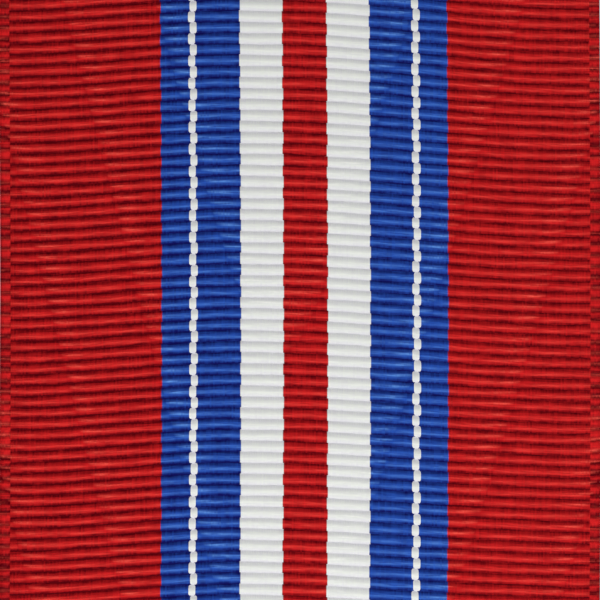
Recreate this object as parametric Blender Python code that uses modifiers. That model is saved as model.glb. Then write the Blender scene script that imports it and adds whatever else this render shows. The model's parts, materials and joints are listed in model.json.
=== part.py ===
"""A full-size military service medal hanging from its brooch bar.

The brooch bar, with its hinged pin and roll-over catch, carries a rod. The woven ribbon loops
round that rod and round the top rail of the suspender. A swivelling claw hangs under the
suspender and grips the struck disc by its rim.

Sizes are in millimetres and become metres through MM. +Z is up and the medal faces -Y. The
origin is the middle of the brooch bar's flat back face.
"""
import math

import bmesh
import bpy
from mathutils import Vector

MM = 0.001

# Ribbon
RIBBON_WIDTH = 32.1
RIBBON_THICKNESS = 0.45
RIBBON_DROP = 42.0          # between the axes of the two rails it hangs on
RIBBON_NECK = 3.6           # height over which the two falls close up below a rail
FALL_GAP = 0.12             # between the front fall and the back fall
LAP_HEIGHT = 9.0            # where the two cut ends overlap on the back fall
LAP_DROP = 6.5              # from the upper rail's axis to the top of the overlap
THREAD_RADIUS = 0.11
THREAD_MARGIN = 1.6         # from the selvedge and from the cut edge to the sewing

# Clearances
RUNNING_FIT = 0.06          # radial, where one piece turns in another
FIXED_FIT = 0.05            # between pieces that stay put on each other
RAIL_SLACK = 0.10           # radial, between a rail and the ribbon round it
SIDE_SLACK = 0.45           # beside each selvedge
LOOP_ROOM = 0.50            # over the ribbon's loop, under the bar that it passes

# Brooch bar
PLATE_HEIGHT = 9.0
PLATE_THICKNESS = 1.2
PLATE_CORNER = 1.2
EYE_WIDTH = 3.2
EYE_RADIUS = 1.3
SEAT_DEPTH = 0.25           # the coined pocket that each fitting's foot sits in
SEAT_MARGIN = 0.15          # round the foot
RAIL_RADIUS = 0.6
RAIL_HEAD_RADIUS = 0.95
RAIL_HEAD_LENGTH = 0.4

# Pin, its joint and its catch
PIN_RADIUS = 0.5
PIN_STANDOFF = 3.4          # from the bar's back face to the pin's axis
PIN_POINT_LENGTH = 7.0
PIN_POINT_RADIUS = 0.08
PIN_OVERHANG = 1.6          # past the catch
PIN_EYE_RADIUS = 1.15
PIN_EYE_THICKNESS = 1.3
FITTING_INSET = 4.9         # from the bar's end to the middle of a fitting
FITTING_BASE = (5.4, 7.4)   # across and up
FITTING_CORNER = 0.8
FITTING_WALL = 0.6
HINGE_EAR_RADIUS = 1.25
HINGE_RIVET_RADIUS = 0.45
HINGE_RIVET_HEAD = (0.8, 0.32)
CATCH_LENGTH = 2.8
CATCH_RADIUS = 1.85
SLEEVE_RADIUS = 1.25
SLEEVE_BORE = 0.68
SLEEVE_SLOT = 1.3           # wide enough for the pin to swing out
SLEEVE_FLANGE = (1.75, 0.6)
SLEEVE_LIP = (1.5, 0.3)
SLEEVE_TAB = (3.0, 0.8)     # reach from the axis, and thickness
SLEEVE_TAB_TURN = 52.0      # degrees from the slot to the tab
PLATE_RIVET_RADIUS = 0.5
PLATE_RIVET_SPACING = 5.2
PLATE_RIVET_HEAD = (0.95, 0.35)

# Suspender
SUSPENDER_RAIL_RADIUS = 0.7
SUSPENDER_DEPTH = 1.9
POST_WIDTH = 2.2
POST_TOP = 1.0              # above the rail's axis
BAR_HEIGHT = 2.3
BOSS_RADIUS = 2.1
BOSS_DROP = 0.6             # below the bar

# Swivel and claw
STEM_RADIUS = 0.9
STEM_HEAD_RADIUS = 1.35
STEM_HEAD_HEIGHT = 0.55
STEM_SOCKET = 1.7           # depth of the stem's hole in the claw
WASHER_THICKNESS = 0.25
WASHER_RADIUS = 1.35
SWIVEL_GAP = 0.12
NECK_RADIUS = 1.9
NECK_LENGTH = 1.0
CLAW_SHOULDER = 1.9         # from the neck to the disc's top edge
TOE_THICKNESS = 0.75
CLAW_RIVET_RADIUS = 0.5
CLAW_RIVET_DROP = 1.5       # below the disc's top edge
CLAW_RIVET_HEAD = (0.85, 0.3)

# Disc
DISC_DIAMETER = 36.0
DISC_THICKNESS = 3.0
RIM_WIDTH = 1.1
FIELD_DEPTH = 0.55

# Places that follow from the sizes
SLOT_HALF = RIBBON_WIDTH / 2 + SIDE_SLACK
PLATE_HALF = SLOT_HALF + EYE_WIDTH
PLATE_BOTTOM = -PLATE_HEIGHT / 2
HANG_Y = -PLATE_THICKNESS / 2
LOOP_RADIUS = RAIL_RADIUS + RAIL_SLACK + RIBBON_THICKNESS
RAIL_Z = PLATE_BOTTOM - LOOP_ROOM - LOOP_RADIUS
SUSPENDER_RAIL_Z = RAIL_Z - RIBBON_DROP
HINGE_X = -(PLATE_HALF - FITTING_INSET)
CATCH_X = PLATE_HALF - FITTING_INSET
SEAT_Y = -SEAT_DEPTH
BASE_Y = SEAT_Y + FIXED_FIT
BASE_TOP = BASE_Y + FITTING_WALL
PIN_TIP_X = CATCH_X + CATCH_LENGTH / 2 + PIN_OVERHANG
BAR_TOP = SUSPENDER_RAIL_Z - (SUSPENDER_RAIL_RADIUS + RAIL_SLACK + RIBBON_THICKNESS + LOOP_ROOM)
BAR_BOTTOM = BAR_TOP - BAR_HEIGHT
SUSPENDER_HALF = SLOT_HALF + POST_WIDTH
BOSS_BOTTOM = BAR_BOTTOM - BOSS_DROP
COUNTERBORE = WASHER_THICKNESS + STEM_HEAD_HEIGHT + 3 * FIXED_FIT
NECK_TOP = BOSS_BOTTOM - SWIVEL_GAP
CLAW_TOP = NECK_TOP - NECK_LENGTH
DISC_TOP = CLAW_TOP - CLAW_SHOULDER
DISC_RADIUS = DISC_DIAMETER / 2
DISC_Z = DISC_TOP - DISC_RADIUS

SILVER = ((0.62, 0.61, 0.59), 0.3, 1.0)
STEEL = ((0.55, 0.55, 0.56), 0.25, 1.0)
CLOTH = ((0.55, 0.02, 0.03), 0.8, 0.0)
THREAD = ((0.40, 0.02, 0.03), 0.8, 0.0)

TURNS = {
    "X": (0, math.pi / 2, 0),
    "Y": (math.pi / 2, 0, 0),
    "Z": (0, 0, 0),
    "section": (math.pi / 2, 0, math.pi / 2),
}


# ---------------------------------------------------------------- scene and filing

def empty_scene():
    for obj in list(bpy.data.objects):
        bpy.data.objects.remove(obj)


def new_collection(name):
    made = bpy.data.collections.new(name)
    bpy.context.scene.collection.children.link(made)
    return made


def file_under(collection, obj):
    for old in list(obj.users_collection):
        old.objects.unlink(obj)
    collection.objects.link(obj)


def finished(obj, name, look, axis=None):
    """Names a sub-part, gives it its own material and hangs it on its joint's empty."""
    colour, roughness, metallic = look
    obj.name = name
    obj.data.name = name
    material = bpy.data.materials.new(name)
    material.use_nodes = True
    shader = material.node_tree.nodes["Principled BSDF"]
    shader.inputs["Base Color"].default_value = (*colour, 1)
    shader.inputs["Roughness"].default_value = roughness
    shader.inputs["Metallic"].default_value = metallic
    obj.data.materials.clear()
    obj.data.materials.append(material)
    file_under(PARTS, obj)
    if axis:
        bpy.context.view_layer.update()
        obj.parent = axis
        obj.matrix_parent_inverse = axis.matrix_world.inverted()
    return obj


def joint_axis(name, place, parent=None):
    """An empty on a joint's axis, which carries the sub-parts that the joint moves."""
    empty = bpy.data.objects.new(name, None)
    empty.empty_display_size = 3 * MM
    empty.location = Vector(place) * MM
    PARTS.objects.link(empty)
    bpy.context.view_layer.update()
    if parent:
        empty.parent = parent
        empty.matrix_parent_inverse = parent.matrix_world.inverted()
        bpy.context.view_layer.update()
    return empty


# ---------------------------------------------------------------- shapes

def smooth(obj, degrees=35):
    obj.data.shade_smooth()
    obj.data.set_sharp_from_angle(angle=math.radians(degrees))
    return obj


def cylinder(radius, length, centre, axis="Z", vertices=48):
    bpy.ops.mesh.primitive_cylinder_add(
        vertices=vertices,
        radius=radius * MM,
        depth=length * MM,
        location=Vector(centre) * MM,
        rotation=TURNS[axis],
    )
    return smooth(bpy.context.object)


def box(low, high):
    """A block between two corners."""
    low, high = Vector(low) * MM, Vector(high) * MM
    bpy.ops.mesh.primitive_cube_add(size=1, location=(low + high) / 2)
    block = bpy.context.object
    block.scale = high - low
    bpy.ops.object.transform_apply(location=False, rotation=False, scale=True)
    return block


def turned(profile, centre, axis="Z", steps=48, ring=False):
    """A lathe-turned solid. The profile is (radius, height), down the outer side."""
    corners = [(radius * MM, 0, height * MM) for radius, height in profile]
    edges = [(i, i + 1) for i in range(len(corners) - 1)]
    if ring:
        edges.append((len(corners) - 1, 0))
    mesh = bpy.data.meshes.new("turned")
    mesh.from_pydata(corners, edges, [])
    obj = bpy.data.objects.new("turned", mesh)
    obj.location = Vector(centre) * MM
    obj.rotation_euler = TURNS[axis]
    PARTS.objects.link(obj)
    screw = obj.modifiers.new("turn", "SCREW")
    screw.axis = "Z"
    screw.steps = steps
    screw.render_steps = steps
    screw.use_merge_vertices = True
    screw.merge_threshold = 0.000001
    return obj


def rounded(corners, steps=5):
    """A closed outline of (x, y, corner radius), with each corner turned into an arc."""
    points = []
    for index, (x, y, radius) in enumerate(corners):
        here = Vector((x, y))
        back = Vector(corners[index - 1][:2]) - here
        ahead = Vector(corners[(index + 1) % len(corners)][:2]) - here
        if radius == 0:
            points.append(here)
            continue
        half = back.angle(ahead) / 2
        reach = min(radius / math.tan(half), 0.49 * back.length, 0.49 * ahead.length)
        radius = reach * math.tan(half)
        middle = here + (back.normalized() + ahead.normalized()).normalized() * radius / math.sin(half)
        start = here + back.normalized() * reach - middle
        end = here + ahead.normalized() * reach - middle
        sweep = start.angle_signed(end)
        for step in range(steps + 1):
            turn = -sweep * step / steps
            cos, sin = math.cos(turn), math.sin(turn)
            points.append(middle + Vector((start.x * cos - start.y * sin, start.x * sin + start.y * cos)))
    return points


def flat_shape(loops, thickness, centre, axis="Y"):
    """A flat outline, with any holes, given its thickness, as a mesh that can be cut."""
    curve = bpy.data.curves.new("outline", "CURVE")
    curve.dimensions = "2D"
    curve.fill_mode = "BOTH"
    curve.extrude = thickness / 2 * MM
    for loop in loops:
        spline = curve.splines.new("POLY")
        spline.points.add(len(loop) - 1)
        spline.use_cyclic_u = True
        for point, place in zip(spline.points, loop):
            point.co = (place[0] * MM, place[1] * MM, 0, 1)
    guide = bpy.data.objects.new("outline", curve)
    guide.location = Vector(centre) * MM
    guide.rotation_euler = TURNS[axis]
    PARTS.objects.link(guide)
    return as_mesh(guide)


def as_mesh(guide):
    """Turns a curve object into a closed mesh object in the same place."""
    bpy.context.view_layer.update()
    evaluated = guide.evaluated_get(bpy.context.evaluated_depsgraph_get())
    mesh = bpy.data.meshes.new_from_object(evaluated)
    solid = bpy.data.objects.new(guide.name, mesh)
    solid.matrix_world = guide.matrix_world
    PARTS.objects.link(solid)
    bpy.data.objects.remove(guide)
    welder = bmesh.new()
    welder.from_mesh(mesh)
    bmesh.ops.remove_doubles(welder, verts=welder.verts, dist=0.000001)
    welder.to_mesh(mesh)
    welder.free()
    return smooth(solid)


def bevel(obj, width, segments=2, degrees=50):
    modifier = obj.modifiers.new("softened edges", "BEVEL")
    modifier.width = width * MM
    modifier.segments = segments
    modifier.limit_method = "ANGLE"
    modifier.angle_limit = math.radians(degrees)
    return obj


def boolean(target, tool, operation):
    modifier = target.modifiers.new(operation.lower(), "BOOLEAN")
    modifier.operation = operation
    modifier.solver = "EXACT"
    modifier.object = tool
    file_under(CUTTERS, tool)
    tool.name = "cutter"
    tool.hide_render = True
    tool.display_type = "WIRE"
    return target


def cut(target, tool):
    return boolean(target, tool, "DIFFERENCE")


def join(target, tool):
    return boolean(target, tool, "UNION")


def rivet_profile(radius, grip, head, tail=None):
    """A domed head, a shank as long as its grip, and a tail closed over like the head."""
    tail = tail or head
    profile = [(0, grip / 2 + head[1])]
    for share in (0.35, 0.7, 0.92):
        profile.append((head[0] * share, grip / 2 + head[1] * (1 - share**3)))
    profile += [(head[0], grip / 2), (radius, grip / 2), (radius, -grip / 2), (tail[0], -grip / 2)]
    for share in (0.92, 0.7, 0.35):
        profile.append((tail[0] * share, -grip / 2 - tail[1] * (1 - share**3)))
    profile.append((0, -grip / 2 - tail[1]))
    return profile


# ---------------------------------------------------------------- brooch bar

def brooch_plate():
    """The pressed bar. Its two ears are rolled into eyes that hold the ribbon's rod."""
    top = PLATE_HEIGHT / 2
    outline = rounded([
        (-PLATE_HALF, top, PLATE_CORNER),
        (-PLATE_HALF, RAIL_Z, 0),
        (-SLOT_HALF, RAIL_Z, 0),
        (-SLOT_HALF, PLATE_BOTTOM, 0.4),
        (SLOT_HALF, PLATE_BOTTOM, 0.4),
        (SLOT_HALF, RAIL_Z, 0),
        (PLATE_HALF, RAIL_Z, 0),
        (PLATE_HALF, top, PLATE_CORNER),
    ])
    plate = flat_shape([outline], PLATE_THICKNESS, (0, HANG_Y, 0))
    bevel(plate, 0.22, degrees=60)
    for side in (-1, 1):
        eye_x = side * (SLOT_HALF + PLATE_HALF) / 2
        join(plate, cylinder(EYE_RADIUS, EYE_WIDTH, (eye_x, HANG_Y, RAIL_Z), "X"))
        middle = HINGE_X if side < 0 else CATCH_X
        cut(plate, flat_shape([foot_outline(SEAT_MARGIN)], 2, (middle, SEAT_Y + 1, 0)))
        for place in rivet_places(side):
            hole = cylinder(PLATE_RIVET_RADIUS + FIXED_FIT, 4, (place[0], HANG_Y, place[1]), "Y", 24)
            cut(plate, hole)
    cut(plate, cylinder(RAIL_RADIUS + FIXED_FIT, 3 * PLATE_HALF, (0, HANG_Y, RAIL_Z), "X", 36))
    return finished(plate, "brooch_plate", SILVER)


def rivet_places(side):
    """Where the two rivets of the joint (side -1) or of the catch (side 1) go through the bar."""
    middle = HINGE_X if side < 0 else CATCH_X
    return [(middle, up * PLATE_RIVET_SPACING / 2) for up in (1, -1)]


def ribbon_rod():
    """The rod that carries the ribbon, spread at both ends outside the eyes."""
    half = PLATE_HALF + FIXED_FIT
    grip = 2 * half
    head = (RAIL_HEAD_RADIUS, RAIL_HEAD_LENGTH)
    rod = turned(rivet_profile(RAIL_RADIUS, grip, head), (0, HANG_Y, RAIL_Z), "X", 36)
    return finished(rod, "ribbon_rod", STEEL)


def plate_rivet(name, place):
    """A small rivet through the bar and the base of a fitting."""
    front, back = -PLATE_THICKNESS - FIXED_FIT, BASE_TOP + FIXED_FIT
    profile = rivet_profile(PLATE_RIVET_RADIUS, back - front, PLATE_RIVET_HEAD)
    rivet = turned(profile, (place[0], (front + back) / 2, place[1]), "Y", 24)
    return finished(rivet, name, SILVER)


def foot_outline(margin=0):
    """The outline of a fitting's foot, or of the pocket that leaves a margin round it."""
    across, up = FITTING_BASE[0] / 2 + margin, FITTING_BASE[1] / 2 + margin
    corner = FITTING_CORNER + margin
    return rounded([
        (-across, -up, corner),
        (across, -up, corner),
        (across, up, corner),
        (-across, up, corner),
    ])


def fitting_base(middle):
    """The flat foot of the joint or of the catch."""
    return flat_shape([foot_outline()], FITTING_WALL, (middle, (BASE_Y + BASE_TOP) / 2, 0))


def drill_base(base, side):
    for place in rivet_places(side):
        cut(base, cylinder(PLATE_RIVET_RADIUS + FIXED_FIT, 4, (place[0], BASE_TOP, place[1]), "Y", 24))


def hinge_bracket():
    """The pin's joint: a foot and two ears above and below the pin's eye."""
    bracket = fitting_base(HINGE_X)
    inner = PIN_EYE_THICKNESS / 2 + RUNNING_FIT
    for side in (-1, 1):
        steps = 12
        tip = [
            (HINGE_EAR_RADIUS * math.cos(math.pi * i / steps),
             PIN_STANDOFF + HINGE_EAR_RADIUS * math.sin(math.pi * i / steps))
            for i in range(steps + 1)
        ]
        foot = [(-HINGE_EAR_RADIUS * 1.3, BASE_TOP - 0.2), (HINGE_EAR_RADIUS * 1.3, BASE_TOP - 0.2)]
        middle = side * (inner + FITTING_WALL / 2)
        ear = flat_shape([tip + foot], FITTING_WALL, (HINGE_X, 0, middle), "Z")
        join(bracket, ear)
    drill_base(bracket, -1)
    hole = HINGE_RIVET_RADIUS + FIXED_FIT
    cut(bracket, cylinder(hole, 8, (HINGE_X, PIN_STANDOFF, 0), "Z", 24))
    return finished(bracket, "hinge_bracket", SILVER)


def hinge_rivet():
    """The upright rivet that the pin turns on."""
    grip = PIN_EYE_THICKNESS + 2 * (RUNNING_FIT + FITTING_WALL + FIXED_FIT)
    rivet = turned(rivet_profile(HINGE_RIVET_RADIUS, grip, HINGE_RIVET_HEAD),
                   (HINGE_X, PIN_STANDOFF, 0), "Z", 24)
    return finished(rivet, "hinge_rivet", STEEL)


def brooch_pin(axis):
    """The sprung steel pin: a flattened eye, a round wire and a ground point."""
    length = PIN_TIP_X - HINGE_X
    shoulder = length - PIN_POINT_LENGTH
    profile = [
        (0, length),
        (PIN_POINT_RADIUS, length - 0.1),
        (PIN_RADIUS * 0.62, length - PIN_POINT_LENGTH * 0.5),
        (PIN_RADIUS * 0.9, length - PIN_POINT_LENGTH * 0.85),
        (PIN_RADIUS, shoulder - 0.4),
        (PIN_RADIUS, PIN_EYE_RADIUS * 0.5),
        (0, PIN_EYE_RADIUS * 0.5),
    ]
    pin = turned(profile, (HINGE_X, PIN_STANDOFF, 0), "X", 24)
    join(pin, cylinder(PIN_EYE_RADIUS, PIN_EYE_THICKNESS, (HINGE_X, PIN_STANDOFF, 0), "Z", 36))
    bore = HINGE_RIVET_RADIUS + RUNNING_FIT
    cut(pin, cylinder(bore, 4, (HINGE_X, PIN_STANDOFF, 0), "Z", 24))
    return finished(pin, "brooch_pin", STEEL, axis)


def catch_base():
    """The catch: a foot, a post and a housing that is open away from the bar."""
    catch = fitting_base(CATCH_X)
    half = CATCH_LENGTH / 2
    join(catch, box((CATCH_X - half, BASE_TOP - 0.2, -0.95),
                    (CATCH_X + half, PIN_STANDOFF - SLEEVE_RADIUS, 0.95)))
    join(catch, cylinder(CATCH_RADIUS, CATCH_LENGTH, (CATCH_X, PIN_STANDOFF, 0), "X"))
    bore = SLEEVE_RADIUS + RUNNING_FIT
    cut(catch, cylinder(bore, 6, (CATCH_X, PIN_STANDOFF, 0), "X"))
    gap = SLEEVE_SLOT / 2 + 0.15
    cut(catch, box((CATCH_X - 4, PIN_STANDOFF, -gap), (CATCH_X + 4, PIN_STANDOFF + 4, gap)))
    drill_base(catch, 1)
    return finished(catch, "catch_base", SILVER)


def catch_sleeve(axis):
    """The roll-over safety sleeve: a slotted spool with a thumb tab on its outer flange."""
    inner_end = CATCH_LENGTH / 2 + RUNNING_FIT
    lip_end = inner_end + SLEEVE_LIP[1]
    flange_end = inner_end + SLEEVE_FLANGE[1]
    profile = [
        (SLEEVE_BORE, flange_end),
        (SLEEVE_FLANGE[0], flange_end),
        (SLEEVE_FLANGE[0], inner_end),
        (SLEEVE_RADIUS, inner_end),
        (SLEEVE_RADIUS, -inner_end),
        (SLEEVE_LIP[0], -inner_end),
        (SLEEVE_LIP[0], -lip_end),
        (SLEEVE_BORE, -lip_end),
    ]
    sleeve = turned(profile, (CATCH_X, PIN_STANDOFF, 0), "X", 48, ring=True)
    turn = math.radians(SLEEVE_TAB_TURN)
    reach, thick = SLEEVE_TAB
    root = SLEEVE_BORE + 0.3
    tab = box((CATCH_X + inner_end, -thick / 2, 0), (CATCH_X + flange_end, thick / 2, reach - root))
    middle = (root + reach) / 2
    tab.location.y = (PIN_STANDOFF + middle * math.cos(turn)) * MM
    tab.location.z = middle * math.sin(turn) * MM
    tab.rotation_euler.x = turn - math.pi / 2
    join(sleeve, tab)
    half_slot = SLEEVE_SLOT / 2
    cut(sleeve, box((CATCH_X - 4, PIN_STANDOFF, -half_slot), (CATCH_X + 4, PIN_STANDOFF + 4, half_slot)))
    return finished(sleeve, "catch_sleeve", STEEL, axis)


# ---------------------------------------------------------------- ribbon

def ease(share):
    """1 at 0 and 0 at 1, level at both ends."""
    return (1 + math.cos(math.pi * share)) / 2


def ribbon_path():
    """The closed middle line of the ribbon's loop: points (y, z) from the back over the rod."""
    middle = (FALL_GAP + RIBBON_THICKNESS) / 2
    upper = RAIL_RADIUS + RAIL_SLACK + RIBBON_THICKNESS / 2
    lower = SUSPENDER_RAIL_RADIUS + RAIL_SLACK + RIBBON_THICKNESS / 2
    arc, neck = 20, 8
    top, bottom = [], []
    for i in range(arc + 1):
        turn = math.pi * i / arc
        top.append((upper * math.cos(turn), RAIL_Z + upper * math.sin(turn)))
        bottom.append((-lower * math.cos(turn), SUSPENDER_RAIL_Z - lower * math.sin(turn)))
    fall = []
    for i in range(1, neck + 1):
        share = i / neck
        fall.append((middle + (upper - middle) * ease(share), RAIL_Z - RIBBON_NECK * share))
    for i in range(neck, 0, -1):
        share = i / neck
        fall.append((middle + (lower - middle) * ease(share), SUSPENDER_RAIL_Z + RIBBON_NECK * share))
    front = [(-half, z) for half, z in fall]
    back = fall[::-1]
    lap_top = RAIL_Z - LAP_DROP
    lap_bottom = lap_top - LAP_HEIGHT
    step = 0.05
    lap = [(middle, z) for z in (lap_bottom - step, lap_bottom, lap_top, lap_top + step)]
    back[neck:neck] = lap
    return top + front + bottom + back, (lap_bottom, lap_top)


def offset_path(path, distance):
    """The path moved outwards by distance(y, z), square to its run."""
    moved = []
    for index, (y, z) in enumerate(path):
        before = path[index - 1]
        after = path[(index + 1) % len(path)]
        run = Vector((after[0] - before[0], after[1] - before[1])).normalized()
        away = distance(y, z)
        moved.append((y + run.y * away, z - run.x * away))
    return moved


def ribbon(axis):
    """The whole woven ribbon: front fall, back fall and the lap of its two ends."""
    path, (lap_bottom, lap_top) = ribbon_path()
    half = RIBBON_THICKNESS / 2

    def outer(y, z):
        lapped = y > 0 and lap_bottom <= z <= lap_top
        return half + (RIBBON_THICKNESS if lapped else 0)

    loops = [offset_path(path, outer), offset_path(path, lambda y, z: -half)]
    cloth = flat_shape(loops, RIBBON_WIDTH, (0, HANG_Y, 0), "section")
    return finished(cloth, "ribbon", CLOTH, axis)


def lap_stitches(name, height, axis):
    """One sewn row: a thread laid across the lap on the back fall."""
    face = HANG_Y + FALL_GAP / 2 + 2 * RIBBON_THICKNESS
    half = RIBBON_WIDTH / 2 - THREAD_MARGIN
    curve = bpy.data.curves.new(name, "CURVE")
    curve.dimensions = "3D"
    curve.bevel_depth = THREAD_RADIUS * MM
    curve.bevel_resolution = 2
    curve.use_fill_caps = True
    spline = curve.splines.new("POLY")
    stitches = 24
    spline.points.add(stitches)
    for i, point in enumerate(spline.points):
        lift = face + FIXED_FIT + THREAD_RADIUS * (1.0 + 0.5 * (i % 2))
        across = -half + 2 * half * i / stitches
        point.co = (across * MM, lift * MM, height * MM, 1)
    guide = bpy.data.objects.new(name, curve)
    PARTS.objects.link(guide)
    return finished(as_mesh(guide), name, THREAD, axis)


# ---------------------------------------------------------------- suspender

def suspender(axis):
    """The cast suspender: a rail for the ribbon, two posts, a bar and the swivel's boss."""
    top = SUSPENDER_RAIL_Z + POST_TOP
    inner = SUSPENDER_HALF - POST_WIDTH
    right = [
        (inner, BAR_TOP, 0.5),
        (inner, top, 0.7),
        (SUSPENDER_HALF, top, 0.7),
        (SUSPENDER_HALF, BAR_TOP + 0.4, 0.6),
        (SUSPENDER_HALF - 1.2, BAR_BOTTOM + 0.9, 0.9),
        (SUSPENDER_HALF - 5.0, BAR_BOTTOM + 0.5, 3.0),
        (BOSS_RADIUS + 4.5, BAR_BOTTOM, 3.0),
        (BOSS_RADIUS, BOSS_BOTTOM + 0.15, 0.3),
    ]
    left = [(-x, z, radius) for x, z, radius in right[::-1]]
    frame = flat_shape([rounded(right + left)], SUSPENDER_DEPTH, (0, HANG_Y, 0))
    bevel(frame, 0.3, degrees=60)
    rail = 2 * (SUSPENDER_HALF - 0.6 * POST_WIDTH)
    join(frame, cylinder(SUSPENDER_RAIL_RADIUS, rail, (0, HANG_Y, SUSPENDER_RAIL_Z), "X", 36))
    boss = BAR_TOP - BOSS_BOTTOM - 0.1
    join(frame, cylinder(BOSS_RADIUS, boss, (0, HANG_Y, BOSS_BOTTOM + boss / 2)))
    bore = STEM_RADIUS + RUNNING_FIT
    cut(frame, cylinder(bore, 3 * BAR_HEIGHT, (0, HANG_Y, BAR_BOTTOM), "Z", 36))
    wide = STEM_HEAD_RADIUS + RUNNING_FIT + 0.06
    floor = BAR_TOP - COUNTERBORE
    cut(frame, cylinder(wide, 2, (0, HANG_Y, floor + 1), "Z", 36))
    return finished(frame, "suspender", SILVER, axis)


# ---------------------------------------------------------------- medal

def swivel_stem(axis):
    """The swivel's shank, fixed in the claw and spread over the washer in the boss."""
    floor = BAR_TOP - COUNTERBORE
    head_foot = floor + WASHER_THICKNESS + 2 * FIXED_FIT
    head_top = head_foot + STEM_HEAD_HEIGHT
    foot = NECK_TOP - STEM_SOCKET + FIXED_FIT
    profile = [
        (0, head_top),
        (STEM_HEAD_RADIUS * 0.7, head_top - 0.06),
        (STEM_HEAD_RADIUS * 0.95, head_top - 0.22),
        (STEM_HEAD_RADIUS, head_foot),
        (STEM_RADIUS, head_foot),
        (STEM_RADIUS, foot),
        (0, foot),
    ]
    stem = turned(profile, (0, HANG_Y, 0), "Z", 36)
    return finished(stem, "swivel_stem", STEEL, axis)


def swivel_washer(axis):
    """The washer that the stem's head turns on."""
    floor = BAR_TOP - COUNTERBORE + FIXED_FIT
    bore = STEM_RADIUS + RUNNING_FIT
    profile = [
        (bore, floor + WASHER_THICKNESS),
        (WASHER_RADIUS, floor + WASHER_THICKNESS),
        (WASHER_RADIUS, floor),
        (bore, floor),
    ]
    washer = turned(profile, (0, HANG_Y, 0), "Z", 36, ring=True)
    return finished(washer, "swivel_washer", STEEL, axis)


def claw(axis):
    """The claw: a neck for the stem and a pair of toes on each face of the disc."""
    depth = DISC_THICKNESS + 2 * (FIXED_FIT + TOE_THICKNESS)
    right = [
        (0, DISC_TOP - 2.6, 0.5),
        (0.9, DISC_TOP - 2.5, 0.3),
        (1.9, DISC_TOP - 3.6, 0.6),
        (3.0, DISC_TOP - 2.6, 0.6),
        (3.2, DISC_TOP - 1.3, 0.4),
        (4.7, DISC_TOP - 1.2, 0.6),
        (4.6, DISC_TOP + 0.3, 0.8),
        (NECK_RADIUS + 0.4, DISC_TOP + 0.7, 0.5),
        (NECK_RADIUS * 0.9, CLAW_TOP, 0.3),
    ]
    left = [(-x, z, radius) for x, z, radius in right[:0:-1]]
    body = flat_shape([rounded(right + left)], depth, (0, HANG_Y, 0))
    bevel(body, 0.22, degrees=60)
    neck = NECK_LENGTH + 0.8
    join(body, cylinder(NECK_RADIUS, neck, (0, HANG_Y, NECK_TOP - neck / 2)))
    slot = DISC_THICKNESS + 2 * FIXED_FIT
    cut(body, cylinder(DISC_RADIUS + FIXED_FIT, slot, (0, HANG_Y, DISC_Z), "Y", 128))
    socket = STEM_SOCKET
    cut(body, cylinder(STEM_RADIUS + FIXED_FIT, 2 * socket, (0, HANG_Y, NECK_TOP), "Z", 36))
    hole = CLAW_RIVET_RADIUS + FIXED_FIT
    cut(body, cylinder(hole, 2 * depth, (0, HANG_Y, DISC_TOP - CLAW_RIVET_DROP), "Y", 24))
    return finished(body, "claw", SILVER, axis)


def claw_rivet(axis):
    """The rivet through the toes and the disc."""
    grip = DISC_THICKNESS + 4 * FIXED_FIT + 2 * TOE_THICKNESS
    profile = rivet_profile(CLAW_RIVET_RADIUS, grip, CLAW_RIVET_HEAD)
    rivet = turned(profile, (0, HANG_Y, DISC_TOP - CLAW_RIVET_DROP), "Y", 24)
    return finished(rivet, "claw_rivet", STEEL, axis)


def medal_disc(axis):
    """The struck disc: a raised rim round a sunk field on each face."""
    half = DISC_THICKNESS / 2
    field = half - FIELD_DEPTH
    field_edge = DISC_RADIUS - RIM_WIDTH
    front = [
        (0, field),
        (field_edge - 0.5, field),
        (field_edge, half - 0.1),
        (field_edge + 0.25, half),
        (DISC_RADIUS - 0.3, half),
        (DISC_RADIUS - 0.08, half - 0.09),
        (DISC_RADIUS, half - 0.3),
    ]
    back = [(radius, -height) for radius, height in front[::-1]]
    disc = turned(front + back, (0, HANG_Y, DISC_Z), "Y", 96)
    hole = CLAW_RIVET_RADIUS + FIXED_FIT
    cut(disc, cylinder(hole, 2 * DISC_THICKNESS, (0, HANG_Y, DISC_TOP - CLAW_RIVET_DROP), "Y", 24))
    return finished(disc, "medal_disc", SILVER, axis)


# ---------------------------------------------------------------- assembly

empty_scene()
PARTS = new_collection("service_medal")
CUTTERS = new_collection("cutters")

pin_axis = joint_axis("pin_axis", (HINGE_X, PIN_STANDOFF, 0))
catch_axis = joint_axis("catch_axis", (CATCH_X, PIN_STANDOFF, 0))
ribbon_axis = joint_axis("ribbon_axis", (0, HANG_Y, RAIL_Z))
suspender_axis = joint_axis("suspender_axis", (0, HANG_Y, SUSPENDER_RAIL_Z), ribbon_axis)
swivel_axis = joint_axis("swivel_axis", (0, HANG_Y, BOSS_BOTTOM), suspender_axis)

brooch_plate()
ribbon_rod()
for place, height in zip(rivet_places(-1), ("upper", "lower")):
    plate_rivet(f"hinge_base_rivet_{height}", place)
for place, height in zip(rivet_places(1), ("upper", "lower")):
    plate_rivet(f"catch_base_rivet_{height}", place)
hinge_bracket()
hinge_rivet()
brooch_pin(pin_axis)
catch_base()
catch_sleeve(catch_axis)

ribbon(ribbon_axis)
LAP_TOP = RAIL_Z - LAP_DROP
lap_stitches("lap_stitches_upper", LAP_TOP - THREAD_MARGIN, ribbon_axis)
lap_stitches("lap_stitches_lower", LAP_TOP - LAP_HEIGHT + THREAD_MARGIN, ribbon_axis)

suspender(suspender_axis)
swivel_stem(swivel_axis)
swivel_washer(swivel_axis)
claw(swivel_axis)
claw_rivet(swivel_axis)
medal_disc(swivel_axis)
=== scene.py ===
import json
import math

import bpy
import numpy as np
from mathutils import Matrix, Vector


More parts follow.
